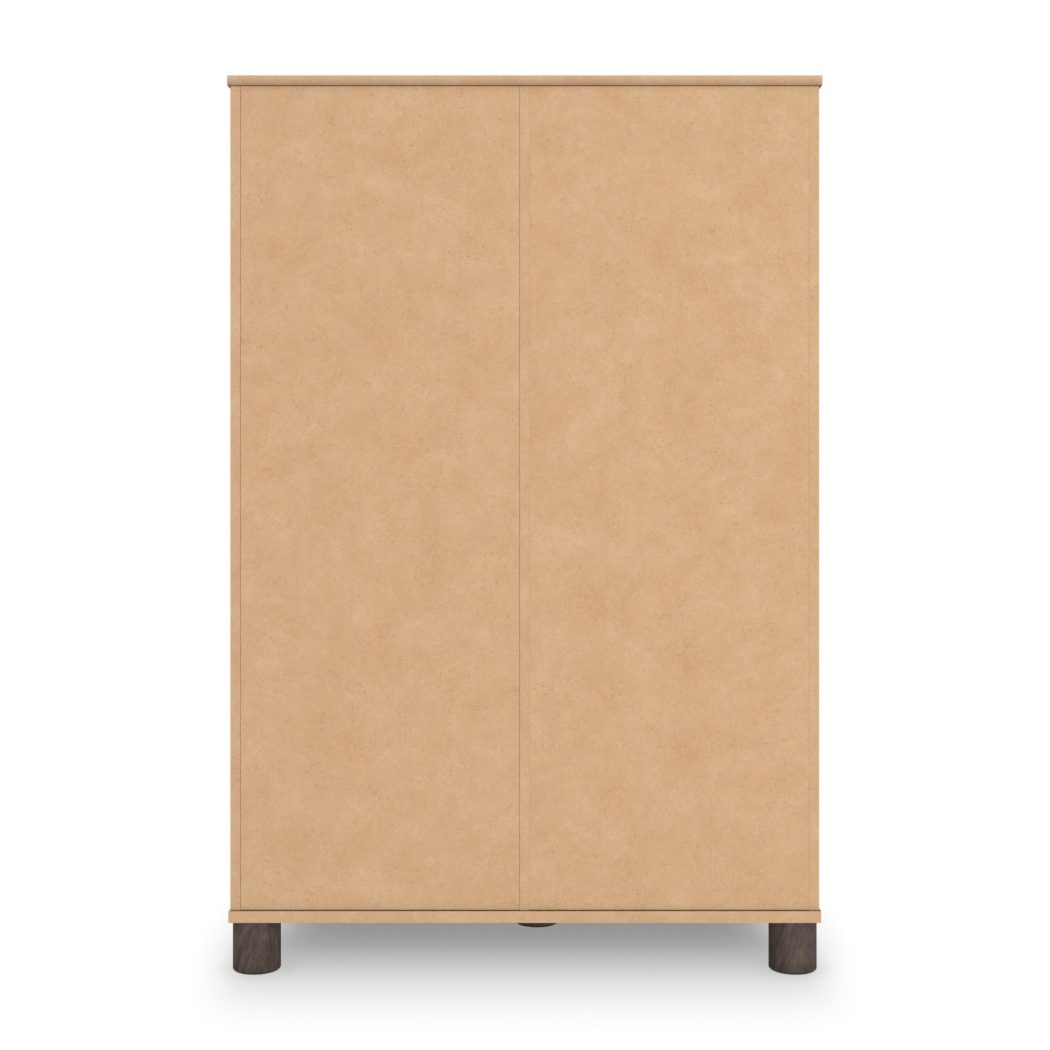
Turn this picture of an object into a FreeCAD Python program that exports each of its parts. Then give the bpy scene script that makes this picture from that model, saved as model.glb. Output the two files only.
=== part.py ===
import FreeCAD, Part
import Sketcher
import os
import re
import sys
from FreeCAD import Vector, Placement, Rotation

# Armoire: a two-door wardrobe with two drawers below, on five round legs.
# Millimetres, +Z up, front towards -Y, left is -X for someone facing the front.
# The origin is on the floor, at the middle of the whole object's box.

doc = FreeCAD.newDocument("armoire")
sheet = doc.addObject("Spreadsheet::Sheet", "dims")
sheet.Label = "dims"

DIMS = [
    # carcass
    ("body_wide", "903"), ("board", "15"), ("side_tall", "1264"),
    ("top_wide", "911"), ("top_thick", "15"), ("base_wide", "907"), ("base_thick", "18"),
    ("base_under", "81"), ("rear_edge", "312"), ("front_edge", "-288"), ("overhang", "6"),
    # back boards: set between the uprights, a little in from their rear edges
    ("back_thick", "15"), ("back_recess", "0.3"), ("foot_gap", "0.4"),
    ("loose_gap", "0.5"), ("tight_gap", "0.1"),
    # legs
    ("leg_radius", "37"), ("leg_out", "416.3"), ("leg_edge", "41"), ("mid_leg_along", "-20.5"),
    ("mid_leg_edge", "294"), ("glide_thick", "2"), ("glide_radius", "34.8"),
    ("stud_radius", "4"), ("stud_in_leg", "25"), ("stud_in_base", "15"),
    ("nail_radius", "1.5"), ("nail_long", "12"),
    # cam fittings and dowels
    ("cam_radius", "7.5"), ("cam_deep", "12.5"), ("cam_reach", "34"), ("bolt_radius", "3"),
    ("bolt_in_face", "10"), ("bolt_bore", "3.5"), ("dowel_radius", "4"), ("dowel_in_face", "10"),
    ("dowel_in_edge", "20"), ("near_row", "60"), ("far_row", "100"), ("row_step", "64"),
    ("half_step", "32"),
    # fixed dividers and drawer bays
    ("bay_tall", "242"), ("reveal", "2"), ("front_thick", "18"),
    # doors and hinges
    ("hinge_gap", "2.4"), ("leaf_thick", "1"), ("leaf_wide", "16"), ("leaf_tall", "70"),
    ("knuckle_tall", "23"), ("knuckle_free", "0.4"), ("barrel_radius", "3"), ("pin_radius", "1.5"),
    ("pin_free", "0.05"), ("axis_out", "3.4"), ("hinge_end", "100"), ("screw_half", "22"),
    ("thin_screw", "1.5"), ("thin_head", "2.5"), ("hinge_screw_long", "12"),
    # handles
    ("bar_radius", "6"), ("bar_out", "24"), ("bar_long", "224"), ("post_radius", "4"),
    ("post_half", "96"), ("rose_radius", "7"), ("rose_thick", "2"), ("handle_in", "34"),
    ("bolt_slim", "2"), ("bolt_head", "4"), ("bolt_head_thick", "2.5"), ("bolt_in_post", "12"),
    ("door_handle_up", "870"), ("drawer_handle_up", "222"),
    # magnetic catches
    ("catch_up", "1262"), ("catch_tall", "44"), ("catch_deep", "16"), ("catch_wide", "13"),
    ("strike_thick", "1.2"), ("strike_free", "0.4"),
    # hanging rod
    ("rod_radius", "12.5"), ("rod_bore", "11.3"), ("rod_up", "1300"), ("rod_along", "14"),
    ("flange_radius", "26"), ("flange_thick", "3"), ("collar_radius", "15.5"), ("collar_long", "14"),
    ("rod_seat", "2"), ("socket_screw_half", "20"), ("wood_screw", "1.75"), ("wood_head", "3.5"),
    # adjustable shelves
    ("pin_low", "528.5"), ("pitch", "32"), ("rows", "21"), ("shelf_pin", "2.5"), ("pin_in", "10"),
    ("pin_long", "18"), ("shelf_free", "1"), ("pin_front", "52"), ("pin_rear", "62"),
    ("shelf_front", "22"), ("shelf_rear", "6"), ("step_between", "256"), ("first_step", "64"),
    # drawers
    ("drawer_free", "3"), ("slab", "12"), ("drawer_tall", "196"), ("drawer_foot", "10"),
    ("drawer_deep", "500"), ("housing", "6"), ("bottom_thick", "5"), ("bottom_up", "12"),
    ("bottom_in", "5"), ("back_in", "4"), ("groove_deep", "5.5"), ("groove_free", "0.3"),
    ("cleat_thick", "8"), ("cleat_tall", "16"), ("cleat_up", "112"), ("cleat_long", "504"),
    ("cleat_front", "24"), ("cleat_screw_end", "60"), ("screw_in_wood", "7"), ("wood_sink", "2.5"),
]
ALIASES = set(a for a, v in DIMS)
for row, (alias, value) in enumerate(DIMS, start=1):
    sheet.set("A%d" % row, alias)
    sheet.set("B%d" % row, value)
    sheet.setAlias("B%d" % row, alias)
doc.recompute()

# positions that recur, as expressions of the sheet
XI = "(body_wide/2-board)"                  # inner face of a side, as a distance from the middle
XM = "(board/2)"                            # face of the partition
YR = "(rear_edge-overhang)"                 # rear edges of the uprights
YF = "(front_edge+overhang)"                # front edges of the uprights
YD = "(front_edge+overhang+front_thick)"    # inner faces of doors and drawer fronts
ZB = "(base_under+base_thick)"              # top of the base board
ZT = "(base_under+base_thick+side_tall)"    # underside of the top
ZD = "(base_under+base_thick+bay_tall)"     # underside of the dividers
YBK = "(rear_edge-overhang-back_recess-back_thick)"   # front faces of the back boards
YBM = "(rear_edge-overhang-back_recess-back_thick/2)" # middle of their thickness
YA = "(front_edge+overhang+near_row)"       # front row of fittings
YZ = "(rear_edge-overhang-far_row)"         # rear row of fittings

nodes = []


def ex(text):
    """Prefix every alias in an expression with the sheet's name."""
    return re.sub(r"[a-z_]+", lambda m: "dims." + m.group(0) if m.group(0) in ALIASES else m.group(0), str(text))


def bind(obj, prop, text):
    obj.setExpression(prop, ex(text))


def place(obj, x, y, z, rotation=None):
    if rotation is not None:
        obj.Placement = Placement(Vector(0, 0, 0), rotation)
    bind(obj, "Placement.Base.x", x)
    bind(obj, "Placement.Base.y", y)
    bind(obj, "Placement.Base.z", z)


def node(obj, label):
    obj.Label = label
    nodes.append(obj)
    return obj


counter = [0]


def fresh(stem):
    counter[0] += 1
    return "%s_%03d" % (stem, counter[0])


TURN = {"x": Rotation(Vector(0, 1, 0), 90), "y": Rotation(Vector(1, 0, 0), -90), "z": Rotation(),
        "-x": Rotation(Vector(0, 1, 0), -90), "-y": Rotation(Vector(1, 0, 0), 90), "-z": Rotation(Vector(1, 0, 0), 180)}


def box(x, y, z, dx, dy, dz, stem="block"):
    o = doc.addObject("Part::Box", fresh(stem))
    bind(o, "Length", dx)
    bind(o, "Width", dy)
    bind(o, "Height", dz)
    place(o, x, y, z)
    return o


def rod(axis, x, y, z, radius, length, stem="rod"):
    """A cylinder that starts at x, y, z and runs along an axis such as x or -y."""
    o = doc.addObject("Part::Cylinder", fresh(stem))
    bind(o, "Radius", radius)
    bind(o, "Height", length)
    place(o, x, y, z, TURN[axis])
    return o


def cone(axis, x, y, z, r_start, r_end, length, stem="cone"):
    o = doc.addObject("Part::Cone", fresh(stem))
    bind(o, "Radius1", r_start)
    bind(o, "Radius2", r_end)
    bind(o, "Height", length)
    place(o, x, y, z, TURN[axis])
    return o


def fuse(items, stem="joined"):
    o = doc.addObject("Part::MultiFuse", fresh(stem))
    o.Shapes = items
    o.Refine = True
    return o


def group(items, stem="set"):
    o = doc.addObject("Part::Compound", fresh(stem))
    o.Links = items
    return o


def cut(base, tools, stem="cut"):
    tool = tools[0] if len(tools) == 1 else group(tools, "tools")
    o = doc.addObject("Part::Cut", fresh(stem))
    o.Base = base
    o.Tool = tool
    o.Refine = True
    return o


def plane(body, role):
    return [f for f in body.Origin.OriginFeatures if f.Role == role][0]


def sketch_on(body, role, stem, offset=None):
    s = body.newObject("Sketcher::SketchObject", fresh(stem))
    s.AttachmentSupport = (plane(body, role), [""])
    s.MapMode = "FlatFace"
    if offset is not None:
        bind(s, "AttachmentOffset.Base.z", offset)
    return s


def dimension(s, kind, a, pa, b, pb, guess, text):
    c = s.addConstraint(Sketcher.Constraint(kind, a, pa, b, pb, guess))
    name = fresh("d")
    s.renameConstraint(c, name)
    bind(s, "Constraints." + name, text)


def rectangle(s, u, v, du, dv):
    p = [Vector(3, 3, 0), Vector(9, 3, 0), Vector(9, 9, 0), Vector(3, 9, 0)]
    g = [s.addGeometry(Part.LineSegment(p[i], p[(i + 1) % 4]), False) for i in range(4)]
    for i in range(4):
        s.addConstraint(Sketcher.Constraint("Coincident", g[i], 2, g[(i + 1) % 4], 1))
    for i, kind in ((0, "Horizontal"), (1, "Vertical"), (2, "Horizontal"), (3, "Vertical")):
        s.addConstraint(Sketcher.Constraint(kind, g[i]))
    if u is None:
        s.addConstraint(Sketcher.Constraint("Coincident", g[0], 1, -1, 1))
    else:
        dimension(s, "DistanceX", -1, 1, g[0], 1, 3.0, u)
        dimension(s, "DistanceY", -1, 1, g[0], 1, 3.0, v)
    dimension(s, "DistanceX", g[0], 1, g[0], 2, 6.0, du)
    dimension(s, "DistanceY", g[1], 1, g[1], 2, 6.0, dv)


def circles(s, centres, radius):
    first = None
    for i, (u, v) in enumerate(centres):
        g = s.addGeometry(Part.Circle(Vector(20.0 + 12 * i, 20.0, 0), Vector(0, 0, 1), 3.0), False)
        dimension(s, "DistanceX", -1, 1, g, 3, 20.0 + 12 * i, u)
        dimension(s, "DistanceY", -1, 1, g, 3, 20.0, v)
        if first is None:
            first = g
            c = s.addConstraint(Sketcher.Constraint("Radius", g, 3.0))
            name = fresh("r")
            s.renameConstraint(c, name)
            bind(s, "Constraints." + name, radius)
        else:
            s.addConstraint(Sketcher.Constraint("Equal", first, g))


def pocket(body, start, size, face, depth, holes=None, radius=None, rect=None):
    """Cut round holes or one rectangle into a face of a board. Positions are given in the armoire's frame.
    face is +x, -x, +y, -y, +z or -z; start and size are the board's corner and size."""
    x0, y0, z0 = start
    dx, dy, dz = size
    axis = face[1]
    role, high, offset = {
        "x": ("YZ_Plane", dx, "%s"), "y": ("XZ_Plane", dy, "-(%s)"), "z": ("XY_Plane", dz, "%s")}[axis]
    far = face[0] == "+"
    s = sketch_on(body, role, "sketch", offset % high if far else None)

    def uv(p):
        local = ["(%s)-(%s)" % (p[i], start[i]) for i in range(3)]
        return {"x": (local[1], local[2]), "y": (local[0], local[2]), "z": (local[0], local[1])}[axis]

    if holes:
        circles(s, [uv(p) for p in holes], radius)
    if rect:
        lo, hi = rect
        u0, v0 = uv(lo)
        u1, v1 = uv(hi)
        rectangle(s, u0, v0, "(%s)-(%s)" % (u1, u0), "(%s)-(%s)" % (v1, v0))
    k = body.newObject("PartDesign::Pocket", fresh("pocket"))
    k.Profile = s
    bind(k, "Length", depth)
    # the XZ plane looks towards -Y, the others towards their positive axis
    toward_positive = not far
    k.Reversed = toward_positive if axis != "y" else not toward_positive
    s.Visibility = False
    return k


def board(label, x, y, z, dx, dy, dz, pockets=()):
    body = doc.addObject("PartDesign::Body", label)
    s = sketch_on(body, "XY_Plane", "outline")
    rectangle(s, None, None, dx, dy)
    pad = body.newObject("PartDesign::Pad", fresh("pad"))
    pad.Profile = s
    bind(pad, "Length", dz)
    for p in pockets:
        pocket(body, (x, y, z), (dx, dy, dz), **p)
    place(body, x, y, z)
    return node(body, label)


def span(side, near, far):
    """Lowest x and width of a piece that lies between two distances from the middle."""
    return ("%s" % near if side > 0 else "-(%s)" % far), "(%s)-(%s)" % (far, near)


def at(side, distance):
    return "%s" % distance if side > 0 else "-(%s)" % distance


def away(side):
    """Axis name that points from the middle outward on that side."""
    return "x" if side > 0 else "-x"


def toward(side):
    return "-x" if side > 0 else "x"


L, R = -1, 1
NAME = {L: "left", R: "right"}

# ---------------------------------------------------------------- where the fittings sit
# cam fittings that hold the uprights to the top and the base
UPRIGHTS = [("left", "-(body_wide/2-board/2)", L), ("centre", "0", R), ("right", "body_wide/2-board/2", R)]
cam_rows = [YA, YZ]
dowel_rows = ["(%s+row_step)" % YA, "(%s-row_step)" % YZ]
# heights of the dowels that locate each back board; the two boards are staggered in the partition
BACK_DOWELS = {L: ["(%s+130)" % ZB, "(%s+600)" % ZB, "(%s+1080)" % ZB],
               R: ["(%s+170)" % ZB, "(%s+640)" % ZB, "(%s+1120)" % ZB]}
GAP = {L: "tight_gap", R: "loose_gap"}
# rows of the cam fittings of the dividers, staggered the same way
DIV_ROWS = {L: [YA, YZ], R: ["(%s+half_step)" % YA, "(%s-half_step)" % YZ]}
ZDM = "(%s+board/2)" % ZD
DOOR_LOW = "(%s+board+reveal)" % ZD
DOOR_HIGH = "(%s-reveal)" % ZT
HINGES = ["(%s+hinge_end)" % DOOR_LOW, "((%s+%s)/2)" % (DOOR_LOW, DOOR_HIGH), "(%s-hinge_end)" % DOOR_HIGH]
HINGE_SCREWS = ["(%s%sscrew_half)" % (z, sign) for z in HINGES for sign in "-+"]
YLEAF = "(%s+leaf_wide/2)" % YF
SOCKET_SCREWS = ["(rod_up-socket_screw_half)", "(rod_up+socket_screw_half)"]
CLEAT_MID = "(%s+cleat_up)" % ZB
CLEAT_Y = "(%s+cleat_front)" % YF
CLEAT_SCREWS = ["(%s+cleat_screw_end)" % CLEAT_Y, "(%s+cleat_long/2)" % CLEAT_Y, "(%s+cleat_long-cleat_screw_end)" % CLEAT_Y]
PIN_ROWS = ["(%s+pin_front)" % YF, "(%s-pin_rear)" % YBK]

# ---------------------------------------------------------------- top and base boards
stations = [x for _, x, _ in UPRIGHTS]
LEGS = [("rear_left_leg", "-leg_out", "rear_edge-leg_edge"), ("rear_right_leg", "leg_out", "rear_edge-leg_edge"),
        ("front_left_leg", "-leg_out", "front_edge+leg_edge"), ("front_right_leg", "leg_out", "front_edge+leg_edge"),
        ("centre_leg", "mid_leg_along", "rear_edge-mid_leg_edge")]

board("base_board", "-base_wide/2", "front_edge", "base_under", "base_wide", "(rear_edge-front_edge)", "base_thick", [
    dict(face="+z", depth="bolt_in_face", radius="bolt_radius", holes=[(x, y, ZB) for x in stations for y in cam_rows]),
    dict(face="+z", depth="dowel_in_face", radius="dowel_radius", holes=[(x, y, ZB) for x in stations for y in dowel_rows]),
    dict(face="-z", depth="stud_in_base", radius="stud_radius", holes=[(x, y, ZB) for _, x, y in LEGS]),
])
board("top_panel", "-top_wide/2", "front_edge", ZT, "top_wide", "(rear_edge-front_edge)", "top_thick", [
    dict(face="-z", depth="bolt_in_face", radius="bolt_radius", holes=[(x, y, ZT) for x in stations for y in cam_rows]),
    dict(face="-z", depth="dowel_in_face", radius="dowel_radius", holes=[(x, y, ZT) for x in stations for y in dowel_rows]),
])

# ---------------------------------------------------------------- uprights
CAM_Z = ["(%s+cam_reach)" % ZB, "(%s-cam_reach)" % ZT]


def end_holes(x):
    out = []
    for face, z in (("-z", ZB), ("+z", ZT)):
        out.append(dict(face=face, depth="cam_reach", radius="bolt_bore", holes=[(x, y, z) for y in cam_rows]))
        out.append(dict(face=face, depth="dowel_in_edge", radius="dowel_radius", holes=[(x, y, z) for y in dowel_rows]))
    return out


def inner_face(side, face, divider=True):
    """Everything drilled into an upright's face for the bay on that side."""
    # the face's own coordinate does not matter to a hole drilled along x
    out = [
        dict(face=face, depth="dowel_in_face", radius="dowel_radius", holes=[("0", YBM, z) for z in BACK_DOWELS[side]]),
        dict(face=face, depth="bolt_in_face", radius="bolt_radius", holes=[("0", y, ZDM) for y in DIV_ROWS[side]]),
        dict(face=face, depth="screw_in_wood", radius="wood_screw", holes=[("0", y, CLEAT_MID) for y in CLEAT_SCREWS]),
    ]
    if side == L:
        out.append(dict(face=face, depth="screw_in_wood", radius="wood_screw", holes=[("0", "rod_along", z) for z in SOCKET_SCREWS]))
    return out


def shelf_holes(body, face, start, size):
    """Two columns of shelf-pin holes, repeated upward at the pitch."""
    k = pocket(body, start, size, face, "pin_in", holes=[("0", y, "pin_low") for y in PIN_ROWS], radius="shelf_pin")
    p = body.newObject("PartDesign::LinearPattern", fresh("pattern"))
    p.Originals = [k]
    p.Direction = ([f for f in body.Origin.OriginFeatures if f.Role == "Z_Axis"][0], [""])
    bind(p, "Length", "pitch*(rows-1)")
    bind(p, "Occurrences", "rows")
    body.Tip = p


hinge_side = lambda face: dict(face=face, depth="hinge_screw_long-leaf_thick", radius="thin_screw", holes=[("0", YLEAF, z) for z in HINGE_SCREWS])

deep = "(%s-%s)" % (YR, YF)
board("left_side_panel", "-body_wide/2", YF, ZB, "board", deep, "side_tall",
      end_holes(UPRIGHTS[0][1]) + inner_face(L, "+x") + [
          hinge_side("+x"),
          dict(face="+x", depth="cam_deep", radius="cam_radius", holes=[("0", y, z) for y in cam_rows for z in CAM_Z])])
right_side = board("right_side_panel", XI, YF, ZB, "board", deep, "side_tall",
      end_holes(UPRIGHTS[2][1]) + inner_face(R, "-x") + [
          hinge_side("-x"),
          dict(face="-x", depth="cam_deep", radius="cam_radius", holes=[("0", y, z) for y in cam_rows for z in CAM_Z])])
shelf_holes(right_side, "-x", (XI, YF, ZB), ("board", deep, "side_tall"))
partition = board("centre_partition", "-board/2", YF, ZB, "board", deep, "side_tall",
      end_holes("0") + inner_face(L, "-x") + inner_face(R, "+x") + [
          dict(face="+x", depth="cam_deep", radius="cam_radius", holes=[("0", y, z) for y in cam_rows for z in CAM_Z])])
shelf_holes(partition, "+x", ("-board/2", YF, ZB), ("board", deep, "side_tall"))

# ---------------------------------------------------------------- back boards
for s in (L, R):
    near, far = "(%s+%s)" % (XM, GAP[s]), "(%s-%s)" % (XI, GAP[s])
    x, dx = span(s, near, far)
    z = "(%s+foot_gap)" % ZB
    hole = dict(depth="dowel_in_edge-%s" % GAP[s], radius="dowel_radius", holes=[("0", YBM, h) for h in BACK_DOWELS[s]])
    board("%s_back_panel" % NAME[s], x, YBK, z, dx, "back_thick", "side_tall-foot_gap",
          [dict(face="-x", **hole), dict(face="+x", **hole)])

# ---------------------------------------------------------------- dividers above the drawers
for s in (L, R):
    x, dx = span(s, XM, XI)
    ends = dict(depth="cam_reach", radius="bolt_bore", holes=[("0", y, ZDM) for y in DIV_ROWS[s]])
    cams = [(at(s, d), y, ZD) for d in ("(%s+cam_reach)" % XM, "(%s-cam_reach)" % XI) for y in DIV_ROWS[s]]
    board("%s_divider_board" % NAME[s], x, YF, ZD, dx, "(%s-%s)" % (YBK, YF), "board",
          [dict(face="-x", **ends), dict(face="+x", **ends), dict(face="-z", depth="cam_deep", radius="cam_radius", holes=cams)])

# ---------------------------------------------------------------- cam locks, cam bolts and dowels
cam_items, bolt_items, dowel_items = [], [], []


def cam_fitting(cam_axis, face_at, bolt_axis, bolt_start):
    """A cam sunk into a face and the bolt that reaches its middle. The bolt starts inside the other board."""
    x, y, z = face_at
    bx, by, bz = bolt_start
    long_way = "bolt_in_face+cam_reach-2"
    shank = rod(bolt_axis, bx, by, bz, "bolt_radius", long_way, "shank")
    bolt_items.append(shank)
    drum = rod(cam_axis, x, y, z, "cam_radius", "cam_deep", "drum")
    # the drum is bored from the bolt's side to its middle, where it grips the bolt
    bore = rod(bolt_axis, bx, by, bz, "bolt_bore", "bolt_in_face+cam_reach", "way")
    key = box("(%s)-0.75" % x if cam_axis not in ("x", "-x") else ("%s" % x if cam_axis == "x" else "(%s)-1.5" % x),
              "(%s)-5" % y, ("(%s)-0.75" % z if cam_axis in ("x", "-x") else "%s" % z),
              "1.5", "10", "1.5", "key")
    cam_items.append(cut(drum, [bore, key], "cam"))


for tag, x, side in UPRIGHTS:
    inner = {"left": "-(body_wide/2-board)", "centre": "board/2", "right": "(body_wide/2-board)"}[tag]
    cam_axis = {"left": "-x", "centre": "-x", "right": "x"}[tag]
    for y in cam_rows:
        cam_fitting(cam_axis, (inner, y, CAM_Z[0]), "z", (x, y, "(%s-bolt_in_face)" % ZB))
        cam_fitting(cam_axis, (inner, y, CAM_Z[1]), "-z", (x, y, "(%s+bolt_in_face)" % ZT))
    for y in dowel_rows:
        dowel_items.append(rod("z", x, y, "(%s-dowel_in_face)" % ZB, "dowel_radius", "dowel_in_face+dowel_in_edge", "dowel"))
        dowel_items.append(rod("-z", x, y, "(%s+dowel_in_face)" % ZT, "dowel_radius", "dowel_in_face+dowel_in_edge", "dowel"))
for s in (L, R):
    for y in DIV_ROWS[s]:
        cam_fitting("z", (at(s, "(%s-cam_reach)" % XI), y, ZD), toward(s), (at(s, "(%s+bolt_in_face)" % XI), y, ZDM))
        cam_fitting("z", (at(s, "(%s+cam_reach)" % XM), y, ZD), away(s), (at(s, "(%s-bolt_in_face)" % XM), y, ZDM))
    for z in BACK_DOWELS[s]:
        dowel_items.append(rod(toward(s), at(s, "(%s+dowel_in_face)" % XI), YBM, z, "dowel_radius", "dowel_in_face+dowel_in_edge", "dowel"))
        dowel_items.append(rod(away(s), at(s, "(%s-dowel_in_face)" % XM), YBM, z, "dowel_radius", "dowel_in_face+dowel_in_edge", "dowel"))
node(group(cam_items), "cam_locks")
node(group(bolt_items), "cam_bolts")
node(group(dowel_items), "dowels")

# ---------------------------------------------------------------- legs
stud_items, glide_items = [], []
for label, x, y in LEGS:
    body = doc.addObject("PartDesign::Body", label)
    s = sketch_on(body, "XY_Plane", "round")
    g = s.addGeometry(Part.Circle(Vector(0, 0, 0), Vector(0, 0, 1), 30.0), False)
    s.addConstraint(Sketcher.Constraint("Coincident", g, 3, -1, 1))
    c = s.addConstraint(Sketcher.Constraint("Radius", g, 30.0))
    s.renameConstraint(c, "outer")
    bind(s, "Constraints.outer", "leg_radius")
    pad = body.newObject("PartDesign::Pad", fresh("pad"))
    pad.Profile = s
    bind(pad, "Length", "base_under-glide_thick")
    for role_offset, radius, depth, up in (("base_under-glide_thick", "stud_radius", "stud_in_leg", False), (None, "nail_radius", "nail_long", True)):
        h = sketch_on(body, "XY_Plane", "bore", role_offset)
        g = h.addGeometry(Part.Circle(Vector(0, 0, 0), Vector(0, 0, 1), 2.0), False)
        h.addConstraint(Sketcher.Constraint("Coincident", g, 3, -1, 1))
        c = h.addConstraint(Sketcher.Constraint("Radius", g, 2.0))
        h.renameConstraint(c, "wall")
        bind(h, "Constraints.wall", radius)
        k = body.newObject("PartDesign::Pocket", fresh("pocket"))
        k.Profile = h
        bind(k, "Length", depth)
        k.Reversed = up
    place(body, x, y, "glide_thick")
    node(body, label)
    stud_items.append(rod("z", x, y, "base_under-stud_in_leg", "stud_radius", "stud_in_leg+stud_in_base", "stud"))
    glide_items.append(fuse([rod("z", x, y, "0", "glide_radius", "glide_thick", "pad"),
                             rod("z", x, y, "0", "nail_radius", "glide_thick+nail_long", "nail")], "glide"))
node(group(stud_items), "leg_studs")
node(group(glide_items), "leg_glides")

# ---------------------------------------------------------------- hanging rod in the left bay
x, dx = span(L, "(%s+rod_seat)" % XM, "(%s-rod_seat)" % XI)
tube = rod("x", x, "rod_along", "rod_up", "rod_radius", dx, "tube")
node(cut(tube, [rod("x", x, "rod_along", "rod_up", "rod_bore", dx, "inside")]), "hanging_rod")
socket_items, socket_screw_items = [], []
for start, axis, back in (("-(%s)" % XI, "x", "-x"), ("-(%s)" % XM, "-x", "x")):
    sign = "+" if axis == "x" else "-"
    solid = fuse([rod(axis, start, "rod_along", "rod_up", "flange_radius", "flange_thick", "flange"),
                  rod(axis, start, "rod_along", "rod_up", "collar_radius", "collar_long", "collar")], "socket")
    tools = [rod(axis, "%s%srod_seat" % (start, sign), "rod_along", "rod_up", "rod_radius", "collar_long", "seat")]
    for z in SOCKET_SCREWS:
        lip = "%s%sflange_thick" % (start, sign)
        tools.append(fuse([cone(back, lip, "rod_along", z, "wood_head", "wood_screw", "wood_sink", "sink"),
                           rod(back, lip, "rod_along", z, "wood_screw", "flange_thick", "way")], "sunk"))
        socket_screw_items.append(fuse([cone(back, lip, "rod_along", z, "wood_head", "wood_screw", "wood_sink", "head"),
                                        rod(back, lip, "rod_along", z, "wood_screw", "flange_thick+screw_in_wood", "shank")], "screw"))
    socket_items.append(cut(solid, tools, "socket"))
node(group(socket_items), "rod_sockets")
node(group(socket_screw_items), "rod_socket_screws")

# ---------------------------------------------------------------- adjustable shelves in the right bay
pin_items = []
for i, label in enumerate(("lower_shelf", "middle_shelf", "upper_shelf")):
    axis_up = "(pin_low+first_step+%d*step_between)" % i
    board(label, "(%s+shelf_free)" % XM, "(%s+shelf_front)" % YD, "%s+shelf_pin" % axis_up,
          "(%s-%s-2*shelf_free)" % (XI, XM), "(%s-shelf_rear-%s-shelf_front)" % (YBK, YD), "board")
    for y in PIN_ROWS:
        pin_items.append(rod("x", "(%s-pin_in)" % XM, y, axis_up, "shelf_pin", "pin_long", "pin"))
        pin_items.append(rod("-x", "(%s+pin_in)" % XI, y, axis_up, "shelf_pin", "pin_long", "pin"))
node(group(pin_items), "shelf_pins")

# ---------------------------------------------------------------- hinges, catches, handles
AX = "(%s-hinge_gap/2)" % XI            # hinge axis, as a distance from the middle
AY = "(%s-axis_out)" % YF               # hinge axis, in front of the door's face
EDGE = "(%s-hinge_gap)" % XI            # hinge edge of the door
INNER = "(%s+reveal)" % XM              # free edge of the door


def leaf(side, z, frame_side):
    """One leaf: a plate in the gap, with knuckles wrapped round the pin in front of it."""
    low = "(%s-leaf_tall/2)" % z
    if frame_side:
        px, pdx = span(side, "(%s-leaf_thick)" % XI, XI)
        knuckles = [(low, "knuckle_tall"), ("(%s+leaf_tall-knuckle_tall)" % low, "knuckle_tall")]
    else:
        px, pdx = span(side, EDGE, "(%s+leaf_thick)" % EDGE)
        knuckles = [("(%s+knuckle_tall+knuckle_free)" % low, "leaf_tall-2*knuckle_tall-2*knuckle_free")]
    parts = [box(px, YF, low, pdx, "leaf_wide", "leaf_tall", "plate")]
    for kz, kt in knuckles:
        parts.append(box(px, AY, kz, pdx, "axis_out", kt, "neck"))
        parts.append(rod("z", at(side, AX), AY, kz, "barrel_radius", kt, "knuckle"))
    tools = [rod("z", at(side, AX), AY, low, "pin_radius+pin_free", "leaf_tall", "pin_way")]
    screws = []
    for sign in "-+":
        sz = "(%s%sscrew_half)" % (z, sign)
        # the head lies flush with the leaf's open face, and the shank goes into the wood behind it
        if frame_side:
            start, axis = at(side, "(%s-leaf_thick)" % XI), away(side)
        else:
            start, axis = at(side, "(%s+leaf_thick)" % EDGE), toward(side)
        tools.append(cone(axis, start, YLEAF, sz, "thin_head", "thin_screw", "leaf_thick", "sink"))
        screws.append(fuse([cone(axis, start, YLEAF, sz, "thin_head", "thin_screw", "leaf_thick", "head"),
                            rod(axis, start, YLEAF, sz, "thin_screw", "hinge_screw_long", "shank")], "screw"))
    return cut(fuse(parts, "leaf"), tools, "leaf"), screws


frame_leaves, frame_screws, pins, catches = [], [], [], []
for s in (L, R):
    for z in HINGES:
        one, screws = leaf(s, z, True)
        frame_leaves.append(one)
        frame_screws += screws
        low = "(%s-leaf_tall/2)" % z
        pins.append(fuse([rod("z", at(s, AX), AY, low, "pin_radius", "leaf_tall", "pin"),
                          rod("-z", at(s, AX), AY, low, "barrel_radius-0.3", "1.2", "head"),
                          rod("z", at(s, AX), AY, "%s+leaf_tall" % low, "barrel_radius-0.3", "1.2", "head")], "pin"))
    cx, cdx = span(s, XM, "(%s+catch_wide)" % XM)
    cy = "(%s+strike_thick+strike_free)" % YD
    case = box(cx, cy, "catch_up", cdx, "catch_deep", "catch_tall", "case")
    mx, mdx = span(s, "(%s+4)" % XM, "(%s+9)" % XM)
    catches.append(cut(case, [box(mx, cy, "catch_up+6", mdx, "1", "4", "slot"),
                              box(mx, cy, "catch_up+catch_tall-10", mdx, "1", "4", "slot")], "catch"))
node(group(frame_leaves), "frame_hinge_leaves")
node(group(frame_screws), "frame_hinge_screws")
node(group(pins), "hinge_pins")
node(group(catches), "magnetic_catches")


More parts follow.
